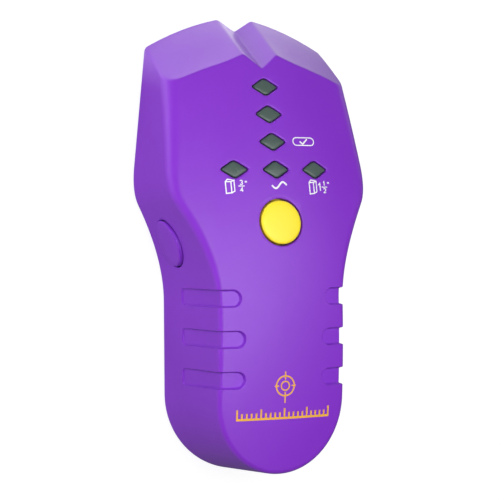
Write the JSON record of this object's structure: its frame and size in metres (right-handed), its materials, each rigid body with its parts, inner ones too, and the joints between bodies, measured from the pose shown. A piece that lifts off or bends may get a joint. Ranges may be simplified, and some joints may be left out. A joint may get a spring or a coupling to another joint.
{
  "type": "stud finder",
  "caption": "Handheld electronic stud finder: wide sensing head with a V marking notch, diamond indicator lenses, round face button, side button and finger-grooved grip.",
  "frame": {"origin": "middle of the flat back: the centre of the bounding box's bottom face", "axes": "+Z out of the face with the buttons and lenses, +Y towards the sensing head, +X to the right seen from the face"},
  "size_m": [0.0766, 0.157, 0.0402],
  "materials": {
    "front_casing": "satin soft-touch violet ABS",
    "rear_casing": "satin soft-touch violet ABS",
    "lid_casing": "satin violet ABS",
    "side_key": "satin violet ABS",
    "face_key": "smooth yellow silicone-coated ABS",
    "smoked_lens": "smoked grey-green polycarbonate",
    "lamp_epoxy": "diffused epoxy",
    "battery_jacket": "printed jacket",
    "plated_steel": "nickel plated",
    "black_plastic": "moulded black",
    "red_insulation": "PVC insulation",
    "black_insulation": "PVC insulation",
    "circuit_board": "green solder mask",
    "capacitor_sleeve": "shrink sleeve",
    "cream_plastic": "nylon",
    "copper": "bare copper foil"
  },
  "bodies": {
    "housing": {"battery_body": "battery_jacket", "battery_stud_negative": "plated_steel", "battery_stud_positive": "plated_steel", "board_header": "black_plastic", "board_screw_bottom_left": "plated_steel", "board_screw_bottom_right": "plated_steel", "board_screw_top_left": "plated_steel", "board_screw_top_right": "plated_steel", "buzzer": "black_plastic", "capacitor_filter": "capacitor_sleeve", "capacitor_supply": "capacitor_sleeve", "crystal": "plated_steel", "front_shell": "front_casing", "housing_screw_grip_left": "plated_steel", "housing_screw_grip_right": "plated_steel", "housing_screw_head_left": "plated_steel", "housing_screw_head_right": "plated_steel", "lamp_centre": "lamp_epoxy", "lamp_left": "lamp_epoxy", "lamp_middle": "lamp_epoxy", "lamp_ready": "lamp_epoxy", "lamp_right": "lamp_epoxy", "lamp_top": "lamp_epoxy", "lead_negative": "black_insulation", "lead_positive": "red_insulation", "lens_centre": "smoked_lens", "lens_left": "smoked_lens", "lens_middle": "smoked_lens", "lens_ready": "smoked_lens", "lens_right": "smoked_lens", "lens_top": "smoked_lens", "main_board": "circuit_board", "microcontroller": "black_plastic", "mode_switch": "black_plastic", "rear_shell": "rear_casing", "scan_switch": "black_plastic", "sense_plate_centre": "copper", "sense_plate_left": "copper", "sense_plate_right": "copper", "sensor_board": "circuit_board", "snap_plate": "black_plastic"},
    "mode_button": {"mode_button": "face_key"},
    "mode_plunger": {"mode_plunger": "cream_plastic"},
    "scan_button": {"scan_button": "side_key"},
    "scan_plunger": {"scan_plunger": "cream_plastic"},
    "battery_lid": {"battery_lid": "lid_casing"}
  },
  "joints": [
    {"name": "mode_press", "type": "slide", "parent": "housing", "child": "mode_button", "axis": [0, 0, -1], "range_m": [0, 0.0005], "stiffness_N_per_m": 2000, "springref_m": -0.0002},
    {"name": "mode_plunger_press", "type": "slide", "parent": "housing", "child": "mode_plunger", "axis": [0, 0, -1], "range_m": [0, 0.0005]},
    {"name": "scan_press", "type": "slide", "parent": "housing", "child": "scan_button", "axis": [1, 0, 0], "range_m": [0, 0.0005], "stiffness_N_per_m": 2000, "springref_m": -0.0002},
    {"name": "scan_plunger_press", "type": "slide", "parent": "housing", "child": "scan_plunger", "axis": [1, 0, 0], "range_m": [0, 0.0005]},
    {"name": "lid_hinge", "type": "hinge", "parent": "housing", "child": "battery_lid", "pos_m": [0, -0.01425, 0.0003], "axis": [1, 0, 0], "range_deg": [0, 90]}
  ],
  "couplings": [
    {"joint": "mode_plunger_press", "follows": "mode_press", "ratio": 1},
    {"joint": "scan_plunger_press", "follows": "scan_press", "ratio": 1}
  ]
}
